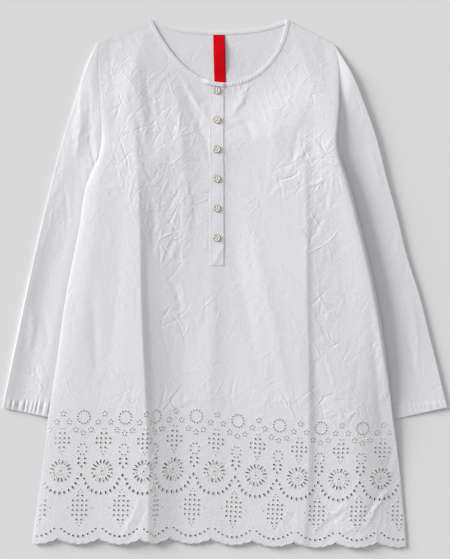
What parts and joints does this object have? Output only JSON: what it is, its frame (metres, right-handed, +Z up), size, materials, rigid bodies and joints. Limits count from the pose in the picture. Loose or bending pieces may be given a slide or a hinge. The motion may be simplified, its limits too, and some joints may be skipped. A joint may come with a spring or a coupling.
{
  "type": "tunic top",
  "caption": "Long-sleeved tunic top laid flat, with a scooped bound neck, a button placket, a flared body with soft folds and a scalloped openwork hem; its sleeves lie partly under its sides.",
  "frame": {"origin": "on the floor, under the middle of the garment's bounding box", "axes": "+Z up out of the garment's front, +Y from the hem towards the neck, +X towards the wearer's left sleeve"},
  "size_m": [0.6906, 0.817, 0.0185],
  "materials": {
    "cotton": "white crinkled plain-weave cotton, matte",
    "binding": "white cotton bias strip and placket, matte, topstitched",
    "button": "cream pearl with a tan rim, soft gloss",
    "ribbon": "red satin ribbon, bare"
  },
  "bodies": {
    "root": {"front_body": "cotton", "back_body": "cotton", "sleeve_right": "cotton", "sleeve_left": "cotton", "neck_binding_right": "binding", "neck_binding_left": "binding", "neck_binding_back": "binding", "placket_top": "binding", "placket_under": "binding", "button_1": "button", "button_2": "button", "button_3": "button", "button_4": "button", "button_5": "button", "button_6": "button", "label_loop": "ribbon"}
  },
  "joints": []
}
